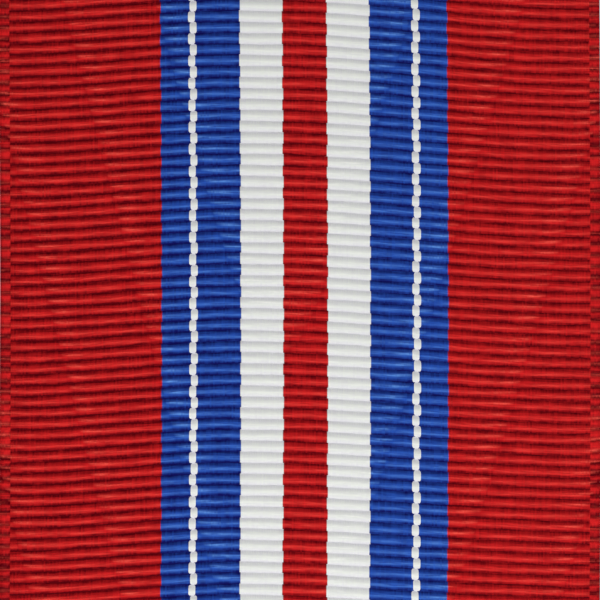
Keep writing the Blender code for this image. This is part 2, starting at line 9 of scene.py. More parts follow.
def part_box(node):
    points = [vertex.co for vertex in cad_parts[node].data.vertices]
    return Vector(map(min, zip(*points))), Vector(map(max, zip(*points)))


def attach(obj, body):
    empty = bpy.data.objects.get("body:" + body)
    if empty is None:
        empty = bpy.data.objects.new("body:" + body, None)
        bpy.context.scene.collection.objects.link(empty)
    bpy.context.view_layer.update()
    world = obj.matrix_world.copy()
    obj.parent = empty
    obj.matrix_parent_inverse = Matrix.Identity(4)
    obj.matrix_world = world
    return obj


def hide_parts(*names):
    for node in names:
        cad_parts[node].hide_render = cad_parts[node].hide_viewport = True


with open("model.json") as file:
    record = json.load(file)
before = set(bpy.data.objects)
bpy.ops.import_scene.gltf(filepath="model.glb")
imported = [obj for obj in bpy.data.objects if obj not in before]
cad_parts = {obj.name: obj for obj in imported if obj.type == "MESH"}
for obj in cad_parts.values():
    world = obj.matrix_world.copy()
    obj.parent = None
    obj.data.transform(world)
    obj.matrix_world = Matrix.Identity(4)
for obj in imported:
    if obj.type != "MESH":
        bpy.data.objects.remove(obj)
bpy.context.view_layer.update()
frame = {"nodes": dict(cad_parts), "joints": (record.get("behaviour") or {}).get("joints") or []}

MM = 0.001
nodes = frame["nodes"]
axes = {joint["name"]: Vector(joint["pos_m"]) for joint in frame["joints"]}


# ---------------------------------------------------------------- ribbon
# Medal ribbon is a warp-faced rib weave of lustrous rayon: the coloured warp yarns lie side by side
# and pass over thick hidden wefts, and each weft shows as a rib across the ribbon. One cut length
# goes over the rod, through the suspender and back up, where its two ends are lapped and sewn.

rod = axes["ribbon_swing"]
rail = axes["suspender_swing"]
ribbon_low, ribbon_high = (Vector(corner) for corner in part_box("ribbon"))
ribbon_width = ribbon_high.x - ribbon_low.x
cloth = 0.45 * MM
fall_gap = 0.12 * MM
neck = 3.6 * MM                     # below each rail the two falls close up over this height
rod_loop = 0.7 * MM + cloth / 2     # from the rod's axis to the middle of the cloth
rail_loop = 0.8 * MM + cloth / 2
lap_top = rod.z - 6.5 * MM
lap_bottom = lap_top - 9.0 * MM
end_room = 1.2 * MM                 # the bowed cut end reaches this far over the lap
lap_gap = 0.02 * MM
lap_rise = 1.6 * MM                 # the outer end steps up on to the inner one over this height
lap_rise_start = 1.4 * MM           # above the lap's top


def ease(share):
    """1 at 0 and 0 at 1, level at both ends and beyond them."""
    return (1 + np.cos(np.pi * np.clip(share, 0, 1))) / 2


def fall_spacing(z):
    """Half the distance between the middles of the two falls."""
    closed = (fall_gap + cloth) / 2
    upper = (rod_loop - closed) * ease((rod.z - z) / neck)
    lower = (rail_loop - closed) * ease((z - rail.z) / neck)
    return closed + upper + lower


def ribbon_run():
    """The middle of the cloth from its inner cut end to its outer one, and its outward normal."""
    down = np.linspace(lap_top + end_room, rail.z, 700)
    up = np.linspace(rail.z, rod.z, 800)
    last = np.linspace(rod.z, lap_bottom, 400)
    half_turn = np.linspace(0, np.pi, 80)
    lift = (cloth + lap_gap) * ease((last - lap_top - lap_rise_start) / lap_rise)
    y = np.concatenate([
        fall_spacing(down),
        rail_loop * np.cos(half_turn[1:-1]),
        -fall_spacing(up),
        -rod_loop * np.cos(half_turn[1:-1]),
        fall_spacing(last) + lift,
    ])
    z = np.concatenate([
        down,
        rail.z - rail_loop * np.sin(half_turn[1:-1]),
        up,
        rod.z + rod_loop * np.sin(half_turn[1:-1]),
        last,
    ])
    points = np.stack([rod.y + y, z], axis=1)
    steps = np.linalg.norm(np.diff(points, axis=0), axis=1)
    along = np.concatenate([[0], np.cumsum(steps)])
    tangent = np.gradient(points, along, axis=0)
    tangent /= np.linalg.norm(tangent, axis=1)[:, None]
    return along, points, np.stack([-tangent[:, 1], tangent[:, 0]], axis=1)


run_at, run_points, run_normals = ribbon_run()
run_length = run_at[-1]

# The weave: 43 ribs to the inch, a little closer at the right, and bowed by the loom's take-up, so
# that each rib stands highest two fifths of the way across and sinks to both selvedges.
rib_pitch = 0.5883 * MM
right_pitch = 0.5825 * MM
closer_from = 17                    # mm from the left selvedge
closer_over = 12                    # mm
bow_peak = 12.7 * MM                # from the left selvedge
bow_left = 0.62 * MM                # how far a rib sinks by the left selvedge
bow_right = 0.93 * MM
rib_height = 0.13 * MM
rib_roundness = 2.3
rib_lean = 1.3                      # above 1 the crest lies nearer a rib's first side
rib_crest = 0.36
selvedge = 0.60 * MM
selvedge_height = 0.09 * MM
bead_crest = 0.55
waver = 0.014 * MM                  # how far a rib strays from its line


def rib_sink(u):
    """How far below its peak a rib lies at the distance u from the left selvedge."""
    left = bow_left * (1 - np.cos(np.pi * (bow_peak - u) / bow_peak)) / 2
    right_span = ribbon_width - bow_peak
    right = bow_right * (1 - np.cos(np.pi * (u - bow_peak) / right_span)) / 2
    return np.where(u < bow_peak, left, right)


def ridge(share, roundness, lean=1.0):
    """A rib's or bead's section: 0 in the groove at 0 and 1, and 1 on the crest near a half."""
    return 1 - np.abs(2 * (1 - share) ** lean - 1) ** roundness


# A painted highlight runs across the ribs in nested V shapes, a faint band of lighter colour.
mark_middle = 14.9 * MM
mark_left = (7.1, 2.4)              # ribs climbed for each mm, and mm of rounding at the foot of the V
mark_right = (5.9, 2.0)
mark_spacing = 33                   # ribs from one V to the next
mark_start = 2
camber = 0.06 * MM                  # and it does not hang quite straight
camber_length = 60 * MM
camber_middle = 2.1 * MM


def mark_rise(u):
    """How many ribs a mark of the painted highlight climbs from the foot of its V to the distance u."""
    off = (u - mark_middle) / MM
    left, right = (slope * (np.hypot(off, foot) - foot) for slope, foot in (mark_left, mark_right))
    return np.where(off < 0, left, right)


# The cloth is one closed band: columns across it, close together over the selvedges, with four more
# for its inner face, and eight rows for each rib along it.
edge_columns = selvedge * np.array([0, 0.03, 0.12, 0.27, 0.45, 0.63, 0.8, 0.92, 1.0])
body_columns = np.linspace(selvedge, ribbon_width - selvedge, 41)[1:-1]
outer_u = np.concatenate([edge_columns, body_columns, (ribbon_width - edge_columns)[::-1]])
inner_edge = 0.3 * MM
inner_u = np.array([ribbon_width - inner_edge, 0.75 * ribbon_width, 0.25 * ribbon_width, inner_edge])
all_u = np.concatenate([outer_u, inner_u])
rib_rows = np.array([0, 0.07, 0.18, 0.34, 0.5, 0.66, 0.82, 0.93])
rib_count = int((run_length - end_room) / rib_pitch)
rib_number = (np.arange(rib_count)[:, None] + rib_rows[None, :]).ravel()
rib_number = np.append(rib_number, rib_count)
front_z = np.where(run_points[:, 0] < rod.y, run_points[:, 1], np.inf)
front_middle = run_at[np.argmin(np.abs(front_z - (rod.z + rail.z) / 2))]
middle_rib = (front_middle - end_room) / rib_pitch

u_grid, v_grid = np.meshgrid(all_u, rib_number)
pitch = rib_pitch + (right_pitch - rib_pitch) * (1 - ease((u_grid / MM - closer_from) / closer_over))
stray_seed = np.random.default_rng(7)
stray_wave = stray_seed.uniform(5, 13, rib_count + 2)
stray_phase = stray_seed.uniform(0, 2 * np.pi, (rib_count + 2, 2))


def stray(rib, u):
    """How far a groove strays from its bowed line, in metres."""
    wave = 2 * np.pi * u / MM / stray_wave[rib]
    return waver * (np.sin(wave + stray_phase[rib, 0]) + 0.6 * np.sin(2.3 * wave + stray_phase[rib, 1]))


# Where each row runs along the cloth, after the bow and the strays of the grooves beside it.
rib = np.floor(v_grid).astype(int)
share = v_grid - rib
strayed = (1 - share) * stray(rib, u_grid) + share * stray(rib + 1, u_grid)
along = front_middle + (v_grid - middle_rib) * pitch - rib_sink(u_grid) + strayed
along = np.clip(along, 0, run_length)

# How far each place stands out: round ribs across the body, and in each selvedge a row of beads half a
# rib out of step, where the weft turns back.
edge_share = np.clip(np.minimum(u_grid, ribbon_width - u_grid) / selvedge, 0, 1)
in_body = edge_share >= 0.999
bead_share = (v_grid + 0.5) % 1
bead = ridge(bead_share, 2.0) * np.sin(np.pi * edge_share) ** 0.6
rib_section = ridge(share, rib_roundness, rib_lean)
height = np.where(in_body, rib_height * rib_section, selvedge_height * bead)
edge_thickness = np.sqrt(1 - (1 - np.clip(edge_share / 0.4, 0, 1)) ** 2)
outer = (cloth / 2 - rib_height + height) * edge_thickness
inner = -cloth / 2 * edge_thickness
is_outer = np.arange(len(all_u)) < len(outer_u)
offset = np.where(is_outer[None, :], outer, inner)

# Painted shade: how dark each place is painted, from 0 on the crests to 1 in the grooves, spread unevenly
# over a rib's two flanks.
# The painted groove shade is lighter on the right, every bead of a selvedge has its own random tone, and
# the inner face takes a flat half tone.
shade_cut = 0.14
shade_cut_from = 10 * MM
shade_cut_over = 5 * MM


def slopes(place, top, before, after):
    """0 at the top and 1 at both ends, with a softness for the slope before and the one after."""
    return np.where(place < top, np.clip((top - place) / top, 0, 1) ** before,
                    np.clip((place - top) / (1 - top), 0, 1) ** after)


bead_tone = stray_seed.uniform(-0.25, 0.35, rib_count + 2)[np.floor(v_grid + 0.5).astype(int)]
bead_shade = np.clip(slopes(bead_share, bead_crest, 1.3, 0.8) + bead_tone, 0, 1.1)
# Painted shade for the ribs, made lighter towards the right; the ribs' height is not changed.
right_shade_scale = 1 - shade_cut * np.clip((u_grid - shade_cut_from) / shade_cut_over, 0, 1)
rib_shade = slopes(share, rib_crest, 0.75, 1.5) * right_shade_scale
inside_tone = 0.5
groove_shade = np.where(in_body, rib_shade, bead_shade)
groove_shade = np.where(is_outer[None, :], groove_shade, inside_tone)

y = np.interp(along, run_at, run_points[:, 0]) + offset * np.interp(along, run_at, run_normals[:, 0])
z = np.interp(along, run_at, run_points[:, 1]) + offset * np.interp(along, run_at, run_normals[:, 1])
sway = -camber * (1 - np.cos(2 * np.pi * (along - front_middle + camber_middle) / camber_length))
x = ribbon_low.x + u_grid + sway

rows, columns = u_grid.shape
places = np.stack([x, y, z], axis=-1).reshape(-1, 3)
corner = np.arange(rows * columns).reshape(rows, columns)
beside = np.roll(corner, -1, axis=1)
quads = np.stack([corner[:-1], beside[:-1], beside[1:], corner[1:]], axis=-1).reshape(-1, 4)
faces = quads.tolist() + [corner[0][::-1].tolist(), corner[-1].tolist()]
ribbon_mesh = bpy.data.meshes.new("ribbon_weave")
ribbon_mesh.from_pydata(places.tolist(), [], faces)

# The weave map: mm from the left selvedge, and ribs from the inner cut end.
weave_map = ribbon_mesh.uv_layers.new(name="weave")
corner_vertex = np.zeros(len(ribbon_mesh.loops), int)
ribbon_mesh.loops.foreach_get("vertex_index", corner_vertex)
weave_place = np.stack([u_grid / MM, v_grid], axis=-1).reshape(-1, 2)
weave_map.data.foreach_set("uv", weave_place[corner_vertex].ravel())
# The phase of the painted highlight's nested V marks.
highlight_phase = (mark_rise(u_grid) - mark_start - (v_grid - middle_rib)) / mark_spacing
for name, values in (("groove_shade", groove_shade), ("highlight_phase", highlight_phase)):
    ribbon_mesh.attributes.new(name, "FLOAT", "POINT").data.foreach_set("value", values.ravel())
ribbon_mesh.shade_smooth()
ribbon = bpy.data.objects.new("ribbon_weave", ribbon_mesh)
bpy.context.scene.collection.objects.link(ribbon)


def srgb(hex_colour):
    """A hex colour as linear red, green, blue and alpha."""
    parts = [int(hex_colour[i:i + 2], 16) / 255 for i in (0, 2, 4)]
    return [p / 12.92 if p <= 0.04045 else ((p + 0.055) / 1.055) ** 2.4 for p in parts] + [1]


def add(tree, kind, inputs=(), **settings):
    """Adds a shader node with its settings, and fills its inputs with values or other nodes' outputs."""
    made = tree.nodes.new("ShaderNode" + kind)
    for key, value in settings.items():
        setattr(made, key, value)
    for key, value in dict(inputs).items():
        if isinstance(value, bpy.types.NodeSocket):
            tree.links.new(value, made.inputs[key])
        else:
            made.inputs[key].default_value = value
    return made


def new_material(name):
    material = bpy.data.materials.new(name)
    material.use_nodes = True
    return material, material.node_tree, material.node_tree.nodes["Principled BSDF"]


# Rayon warp, dyed in the yarn. The crest colours are the dye in full light; the groove colours are the same
# dye darker, painted shade for the grooves, and the lightest colours are a painted highlight. Each yarn
# takes the dye a little differently, and alternate yarns show on alternate ribs.
shaded_dye_colours = {"red": "5a000a", "blue": "0e0f58", "white": "d8d7dc"}
crest = {"red": "d22022", "blue": "2853b4", "white": "e4e7e0"}
highlight_colours = {"red": "ff5a4c", "blue": "6aa0f0", "white": "f6f7f2"}
stripes = [                                      # from the left selvedge, in mm
    ("red", 8.641), ("blue", 4.224), ("white", 2.277), ("red", 2.363),
    ("white", 2.277), ("blue", 4.155), ("red", 8.163),
]
thin_whites = [(10.345, 0.37), (22.25, 0.38)]    # middle and width, in the blue bands
yarn_pitch = 0.09                                # mm

ribbon_rayon, tree, cloth_shader = new_material("ribbon_rayon")
weave = add(tree, "UVMap", uv_map="weave").outputs["UV"]
place = add(tree, "SeparateXYZ", {0: weave}).outputs
rib_index = add(tree, "Math", {0: place["Y"]}, operation="FLOOR").outputs[0]
rib_share = add(tree, "Math", {0: place["Y"]}, operation="FRACT").outputs[0]
odd = add(tree, "Math", {0: rib_index, 1: 2.0}, operation="MODULO").outputs[0]
step = add(tree, "Math", {0: odd, 1: yarn_pitch, 2: -yarn_pitch / 2}, operation="MULTIPLY_ADD").outputs[0]
across = add(tree, "Math", {0: place["X"], 1: step}, operation="ADD").outputs[0]
# The painted groove shade, read from the mesh.
shade_attribute = add(tree, "Attribute", attribute_name="groove_shade").outputs["Fac"]
stripe_place = add(tree, "Math", {0: step, 1: 0.55, 2: place["X"]}, operation="MULTIPLY_ADD").outputs[0]

yarn_place = add(tree, "Math", {0: across, 1: yarn_pitch}, operation="DIVIDE").outputs[0]
yarn = add(tree, "Math", {0: yarn_place}, operation="FLOOR").outputs[0]
float_key = add(tree, "CombineXYZ", {0: yarn, 1: rib_index}).outputs[0]
float_chance = add(tree, "TexWhiteNoise", {"Vector": float_key}, noise_dimensions="2D").outputs["Value"]
yarn_key = add(tree, "CombineXYZ", {0: yarn, 1: odd}).outputs[0]
yarn_chance = add(tree, "TexWhiteNoise", {"Vector": yarn_key}, noise_dimensions="2D").outputs["Value"]
# The plies of the weft cord print through the warp as fine streaks along each rib, which also serve as
# painted highlight streaks:
# they lighten the colour and strengthen the painted highlight.
plies_to_rib = add(tree, "Math", {0: place["Y"], 1: 9.0}, operation="MULTIPLY").outputs[0]
ply_place = add(tree, "CombineXYZ", {0: place["X"], 1: plies_to_rib}).outputs[0]
ply_and_highlight_streak = add(tree, "TexNoise", {"Vector": ply_place, "Scale": 0.8, "Detail": 2.0, "Roughness": 0.6},
                 noise_dimensions="2D").outputs["Fac"]


stripe_starts = np.cumsum([width for _, width in stripes])[:-1]
begun = [add(tree, "MapRange", {"Value": stripe_place, "From Min": start - 0.02,
                                "From Max": start + 0.02}).outputs[0] for start in stripe_starts]


def striped(colours):
    """The stripes from the left selvedge to the right one, each laid over the one before it."""
    laid = srgb(colours[stripes[0][0]])
    for mask, (colour, _) in zip(begun, stripes[1:]):
        laid = add(tree, "Mix", {"Factor": mask, "A": laid, "B": srgb(colours[colour])},
                   data_type="RGBA").outputs["Result"]
    return laid


def thin_white_mask():
    """1 on the two thin white stripes, which are nipped in by each groove."""
    side = add(tree, "Math", {0: rib_share, 1: 2.0, 2: -1.0}, operation="MULTIPLY_ADD").outputs[0]
    nip = add(tree, "Math", {0: side, 1: 6.0}, operation="POWER").outputs[0]
    pinch = add(tree, "Math", {0: nip, 1: -0.4, 2: 1.0}, operation="MULTIPLY_ADD").outputs[0]
    masks = []
    for middle, width in thin_whites:
        off = add(tree, "Math", {0: across, 1: middle}, operation="SUBTRACT").outputs[0]
        away = add(tree, "Math", {0: off}, operation="ABSOLUTE").outputs[0]
        reach = add(tree, "Math", {0: pinch, 1: width / 2}, operation="MULTIPLY").outputs[0]
        masks.append(add(tree, "Math", {0: away, 1: reach}, operation="LESS_THAN").outputs[0])
    return add(tree, "Math", {0: masks[0], 1: masks[1]}, operation="MAXIMUM").outputs[0]


def curve_node(value, points):
    """A smooth curve through the points, read at the value."""
    made = add(tree, "FloatCurve", {"Value": value})
    curve = made.mapping.curves[0]
    for number, (along_curve, height) in enumerate(points):
        if 0 < number < len(points) - 1:
            curve.points.new(along_curve, height)
    curve.points[0].location = points[0]
    curve.points[len(points) - 1].location = points[-1]
    made.mapping.update()
    return made.outputs["Value"]


def painted_highlight_band():
    """How much painted highlight each place of a rib takes: a narrow band that climbs the rib from one mark
    to the next.
    """
    phase = add(tree, "Attribute", attribute_name="highlight_phase").outputs["Fac"]
    cycle = add(tree, "Math", {0: phase, 1: 0.1}, operation="SUBTRACT").outputs[0]
    cycle = add(tree, "Math", {0: cycle}, operation="FRACT").outputs[0]
    middle = curve_node(cycle, [(0, 0.35), (0.4, 0.42), (0.65, 0.46), (0.85, 0.51), (1, 0.62)])
    strength = curve_node(cycle, [(0, 0), (0.12, 0.35), (0.5, 0.4), (0.75, 0.55), (0.88, 1), (0.96, 0.6),
                                  (1, 0)])
    off = add(tree, "Math", {0: rib_share, 1: middle}, operation="SUBTRACT").outputs[0]
    spread = add(tree, "Math", {0: off, 1: 0.13}, operation="DIVIDE").outputs[0]
    squared = add(tree, "Math", {0: spread, 1: spread}, operation="MULTIPLY").outputs[0]
    falloff = add(tree, "Math", {0: squared, 1: -1.0}, operation="MULTIPLY").outputs[0]
    band = add(tree, "Math", {0: falloff}, operation="EXPONENT").outputs[0]
    return add(tree, "Math", {0: band, 1: strength}, operation="MULTIPLY").outputs[0]


thin = thin_white_mask()
lit_shaded_highlit = []
for colours in (crest, shaded_dye_colours, highlight_colours):
    banded = striped(colours)
    lit_shaded_highlit.append(add(tree, "Mix", {"Factor": thin, "A": banded, "B": srgb(colours["white"])},
                      data_type="RGBA").outputs["Result"])
# depth is the painted groove shade with random yarn tone and streaks added: it mixes each crest colour
# toward its painted shade colour.
depth = shade_attribute
for cause, strength in ((float_chance, 0.22), (yarn_chance, 0.10), (ply_and_highlight_streak, -0.9)):
    depth = add(tree, "Math", {0: cause, 1: strength, 2: depth}, operation="MULTIPLY_ADD").outputs[0]
depth = add(tree, "Math", {0: depth, 1: 0.36}, operation="ADD").outputs[0]
dye_and_shade = add(tree, "Mix", {"Factor": depth, "A": lit_shaded_highlit[0], "B": lit_shaded_highlit[1]},
           data_type="RGBA").outputs["Result"]
# glint and shine: the painted highlight, which mixes the colour toward the lighter colours.
glint = add(tree, "MapRange", {"Value": ply_and_highlight_streak, "From Min": 0.35, "From Max": 0.7,
                               "To Max": 1.1}).outputs[0]
glint = add(tree, "Math", {0: float_chance, 1: 0.5, 2: glint}, operation="MULTIPLY_ADD").outputs[0]
glint = add(tree, "Math", {0: glint, 1: 0.6}, operation="MULTIPLY").outputs[0]
shine = add(tree, "Math", {0: painted_highlight_band(), 1: glint}, operation="MULTIPLY").outputs[0]
shone = add(tree, "Mix", {"Factor": shine, "A": dye_and_shade, "B": lit_shaded_highlit[2]}, data_type="RGBA").outputs["Result"]
tree.links.new(shone, cloth_shader.inputs["Base Color"])
yarn_side = add(tree, "Math", {0: yarn_place}, operation="FRACT").outputs[0]
yarn_arc = add(tree, "Math", {0: yarn_side, 1: math.pi}, operation="MULTIPLY").outputs[0]
yarn_round = add(tree, "Math", {0: yarn_arc}, operation="SINE").outputs[0]
yarn_bump = add(tree, "Bump", {"Height": yarn_round, "Distance": 0.02 * MM, "Strength": 0.4}).outputs[0]
tree.links.new(yarn_bump, cloth_shader.inputs["Normal"])
cloth_shader.inputs["Roughness"].default_value = 0.5
cloth_shader.inputs["Specular IOR Level"].default_value = 0.02
ribbon_mesh.materials.append(ribbon_rayon)

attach(ribbon, "ribbon_loop")
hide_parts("ribbon")


def select_only(*objects):
    bpy.ops.object.select_all(action="DESELECT")
    for item in objects:
        item.select_set(True)
    bpy.context.view_layer.objects.active = objects[0]


# ---------------------------------------------------------------- sewn rows
# Two rows of lockstitch hold the lapped ends of the ribbon on the back fall: mercerised cotton thread,
# two plies twisted together, that dips into the cloth between its stitches.

thread_radius = 0.11 * MM
stitch_length = 1.25 * MM
thread_margin = 1.6 * MM
stitch_height = 2.6                 # from the bottom of a dip to the top of a stitch, in thread radii
stitch_dip = 1.7                    # how far it dips below the lap's face, in thread radii
row_waver = 0.02 * MM
lap_face = rod.y + fall_gap / 2 + 2 * cloth + lap_gap

cotton_thread, tree, thread_shader = new_material("mercerised_cotton_thread")
thread_place = add(tree, "TexCoord").outputs["Object"]
plies = add(tree, "Mapping", {"Vector": thread_place, "Rotation": (0, math.radians(35), 0)})
ply_wave = add(tree, "TexWave", {"Vector": plies.outputs[0], "Scale": 1 / (0.9 * MM), "Distortion": 0.4},
               bands_direction="X")
# The thread is painted darker where the ply wave is low, in the grooves between its plies: painted shade.
shaded_ply_colour = add(tree, "Mix", {"Factor": ply_wave.outputs["Fac"], "A": srgb("6f0d14"), "B": srgb("b4262c")},
                 data_type="RGBA").outputs["Result"]
tree.links.new(shaded_ply_colour, thread_shader.inputs["Base Color"])
ply_bump = add(tree, "Bump", {"Height": ply_wave.outputs["Fac"], "Distance": 0.03 * MM}).outputs[0]
tree.links.new(ply_bump, thread_shader.inputs["Normal"])
thread_shader.inputs["Roughness"].default_value = 0.6


def drawn_wire(name, points, radius, roundness, closed=False):
    """A round wire or thread along the points, as a closed mesh."""
    wire = bpy.data.curves.new(name, "CURVE")
    wire.dimensions = "3D"
    wire.bevel_depth = radius
    wire.bevel_resolution = roundness
    wire.use_fill_caps = True
    line = wire.splines.new("POLY")
    line.use_cyclic_u = closed
    line.points.add(len(points) - 1)
    for point, place_on_wire in zip(line.points, points):
        point.co = (*place_on_wire, 1)
    holder = bpy.data.objects.new(name, wire)
    bpy.context.scene.collection.objects.link(holder)
    select_only(holder)
    bpy.ops.object.convert(target="MESH")
    bpy.ops.object.mode_set(mode="EDIT")
    bpy.ops.mesh.select_all(action="SELECT")
    bpy.ops.mesh.remove_doubles(threshold=0.001 * MM)
    bpy.ops.object.mode_set(mode="OBJECT")
    bpy.ops.object.shade_smooth()
    return bpy.context.object


def row_of_stitches(height):
    """The thread's line at a height: it rises over each stitch and dips between them."""
    half_row = ribbon_width / 2 - thread_margin
    stitch_count = round(2 * half_row / stitch_length)
    points_each = 8
    line = []
    for number in range(stitch_count * points_each + 1):
        through = number / points_each
        lift = abs(math.sin(math.pi * through)) ** 0.7
        line.append((-half_row + 2 * half_row * through / stitch_count,
                     lap_face + (stitch_height * lift - stitch_dip) * thread_radius,
                     height + row_waver * math.sin(1.7 * through)))
    return line


for row, height in (("upper", lap_top - thread_margin), ("lower", lap_bottom + thread_margin)):
    stitches = drawn_wire(f"stitches_{row}", row_of_stitches(height), thread_radius, 2)
    stitches.data.materials.append(cotton_thread)
    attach(stitches, "ribbon_loop")
    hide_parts(f"lap_stitches_{row}")


# ---------------------------------------------------------------- brooch bar
# A bar pressed from nickel silver sheet, a copper, nickel and zinc alloy: polished, then worn to fine
# scratches along its length, and warm grey where the polish does not reach.

def worn_metal(name, clean, tarnished, smooth, rough, grain, patch=3.0):
    """A metal tarnished in patches of so many mm and in its corners, scratched along its grain."""
    material, tree, shader = new_material(name)
    place = add(tree, "TexCoord").outputs["Object"]
    clouds = add(tree, "TexNoise", {"Vector": place, "Scale": 1 / (patch * MM), "Detail": 6.0,
                                    "Roughness": 0.6})
    stretched = add(tree, "Mapping", {"Vector": place, "Scale": grain})
    lines = add(tree, "TexNoise", {"Vector": stretched.outputs[0], "Scale": 1 / (0.12 * MM), "Detail": 3.0})
    corners = add(tree, "AmbientOcclusion", {"Distance": 0.7 * MM}, samples=6).outputs["AO"]
    hidden = add(tree, "Math", {0: 1.0, 1: corners}, operation="SUBTRACT").outputs[0]
    cloudy = add(tree, "MapRange", {"Value": clouds.outputs["Fac"], "From Min": 0.42, "From Max": 0.75,
                                    "To Max": 0.22}).outputs[0]
    dull = add(tree, "Math", {0: hidden, 1: 2.2, 2: cloudy}, operation="MULTIPLY_ADD",
               use_clamp=True).outputs[0]
    colour = add(tree, "Mix", {"Factor": dull, "A": srgb(clean), "B": srgb(tarnished)},
                 data_type="RGBA").outputs["Result"]
    tree.links.new(colour, shader.inputs["Base Color"])
    streak = add(tree, "Math", {0: lines.outputs["Fac"], 1: 0.5, 2: dull},
                 operation="MULTIPLY_ADD").outputs[0]
    roughness = add(tree, "MapRange", {"Value": streak, "From Min": 0.2, "From Max": 1.2, "To Min": smooth,
                                       "To Max": rough}).outputs[0]
    tree.links.new(roughness, shader.inputs["Roughness"])
    scratches = add(tree, "Bump", {"Height": lines.outputs["Fac"], "Distance": 0.004 * MM}).outputs[0]
    tree.links.new(scratches, shader.inputs["Normal"])
    shader.inputs["Metallic"].default_value = 1.0
    return material


def dress(material, *names):
    """Gives CAD nodes their material."""
    for name in names:
        nodes[name].data.materials.clear()
        nodes[name].data.materials.append(material)


along_x = (0.04, 1.0, 1.0)
every_way = (1.0, 1.0, 1.0)
round_x = (0.6, 0.1, 0.1)
round_z = (0.1, 0.1, 1.0)
nickel_silver = worn_metal("polished_nickel_silver", "d8d2c4", "7d7464", 0.2, 0.42, along_x)
dress(nickel_silver, "brooch_plate")

# A raised line is coined round the front of the bar, inside its edge.
bar_low, bar_high = (Vector(corner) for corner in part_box("brooch_plate"))
bar_height = 9.0 * MM               # the flat bar, above its rolled eyes
line_inset = 0.9 * MM
line_round = 0.7 * MM
line_radius = 0.16 * MM
line_sink = 0.02 * MM
bar_middle = bar_high.z - bar_height / 2
reach_x = bar_high.x - line_inset - line_round
reach_z = bar_height / 2 - line_inset - line_round
border_line = []
for quarter, (side_x, side_z) in enumerate(((1, 1), (-1, 1), (-1, -1), (1, -1))):
    for step in range(7):
        turn = math.radians(90 * quarter + 15 * step)
        border_line.append((side_x * reach_x + line_round * math.cos(turn), bar_low.y + line_sink,
                            bar_middle + side_z * reach_z + line_round * math.sin(turn)))
bar_border = drawn_wire("bar_border", border_line, line_radius, 3, closed=True)
bar_border.data.materials.append(nickel_silver)
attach(bar_border, "brooch")


# ---------------------------------------------------------------- pin fittings
# The joint and the catch are cast nickel silver, tumbled and riveted to the bar. The pin, its rivet,
# the rod and the safety sleeve are drawn or turned steel, with the marks of the die or the lathe.

cast_silver = worn_metal("tumbled_nickel_silver", "cfc9bc", "6d6557", 0.28, 0.5, every_way, 1.5)
dress(cast_silver, "hinge_bracket", "catch_base", "hinge_base_rivet_upper", "hinge_base_rivet_lower",
      "catch_base_rivet_upper", "catch_base_rivet_lower")
drawn_steel = worn_metal("drawn_steel", "c6c7ca", "6f7073", 0.18, 0.36, along_x, 2.0)
dress(drawn_steel, "ribbon_rod", "brooch_pin")
turned_steel = worn_metal("turned_steel", "bfc0c4", "66676b", 0.22, 0.4, round_x, 1.2)
dress(turned_steel, "hinge_rivet", "catch_sleeve")


# ---------------------------------------------------------------- suspender and claw
# Cast cupro-nickel, whiter than the bar: filed and polished on its flats, dull in its corners. The
# stem and its washer are turned from the same metal, and the claw's rivet is spread by hand.

cast_cupronickel = worn_metal("cast_cupronickel", "dcd8ce", "75706a", 0.2, 0.42, along_x, 2.2)
dress(cast_cupronickel, "suspender", "claw")
turned_cupronickel = worn_metal("turned_cupronickel", "d6d2c9", "6e6a64", 0.2, 0.38, round_z, 1.2)
dress(turned_cupronickel, "swivel_stem", "swivel_washer", "claw_rivet")


# ---------------------------------------------------------------- struck disc
# A blank of cupro-nickel struck between two dies: a raised rim and a beaded border on both faces, a
# laurel wreath round a faceted star on the front, and rays behind a blank tablet on the back. High
# places are rubbed bright, and a grey tone stays round the relief.

struck_metal = worn_metal("struck_cupronickel", "dbd6ca", "5c574f", 0.24, 0.46, every_way, 5.0)
dress(struck_metal, "medal_disc")

disc_low, disc_high = (Vector(corner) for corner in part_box("medal_disc"))
disc_middle = (disc_low + disc_high) / 2
disc_radius = (disc_high.x - disc_low.x) / 2
field_depth = 0.55 * MM             # from the rim to the field
half_field = (disc_high.y - disc_low.y) / 2 - field_depth
bead_ring = disc_radius - 2.05 * MM
wreath_ring = disc_radius - 5.4 * MM
sink = 0.06 * MM                    # relief is set this far into the field
front_face = -1
back_face = 1


def primitive(name, add_shape, **settings):
    """One of Blender's primitives, named, with its turn and size worked into its mesh."""
    bpy.ops.object.select_all(action="DESELECT")
    add_shape(**settings)
    made = bpy.context.object
    made.name = name
    bpy.ops.object.transform_apply(location=True, rotation=True, scale=True)
    return made


def on_face(source, face, around, out, turn=0.0, size=1.0):
    """A copy on a face of the disc, at an angle round from the top and a distance from the middle."""
    made = source.copy()
    made.data = source.data.copy()
    bpy.context.scene.collection.objects.link(made)
    if face == back_face:
        made.data.transform(Matrix.Rotation(math.pi, 4, "Z"))
    spin = Matrix.Rotation(around, 4, "Y")
    lean = Matrix.Rotation(turn, 4, "Y")
    level = Vector((0, face * (half_field - sink), out))
    made.data.transform(Matrix.Translation(disc_middle) @ spin @ Matrix.Translation(level) @ lean
                        @ Matrix.Scale(size, 4))
    return made


def struck_relief(name, pieces, models):
    """Joins the copies into one relief and removes the models that they were copied from."""
    select_only(*pieces)
    bpy.ops.object.join()
    relief = bpy.context.object
    relief.name = name
    bpy.ops.object.shade_smooth_by_angle(angle=math.radians(40))
    relief.data.materials.append(struck_metal)
    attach(relief, "medal")
    for model in models:
        bpy.data.objects.remove(model)


# Bead: for the border of both faces and, smaller, for the laurel's berries.
bead_radius = 0.42 * MM
bead_count = 92
bead_model = primitive("bead_model", bpy.ops.mesh.primitive_uv_sphere_add, segments=10, ring_count=6,
                       radius=bead_radius)


def beaded_border(face):
    return [on_face(bead_model, face, 2 * math.pi * (number + 0.5) / bead_count, bead_ring)
            for number in range(bead_count)]


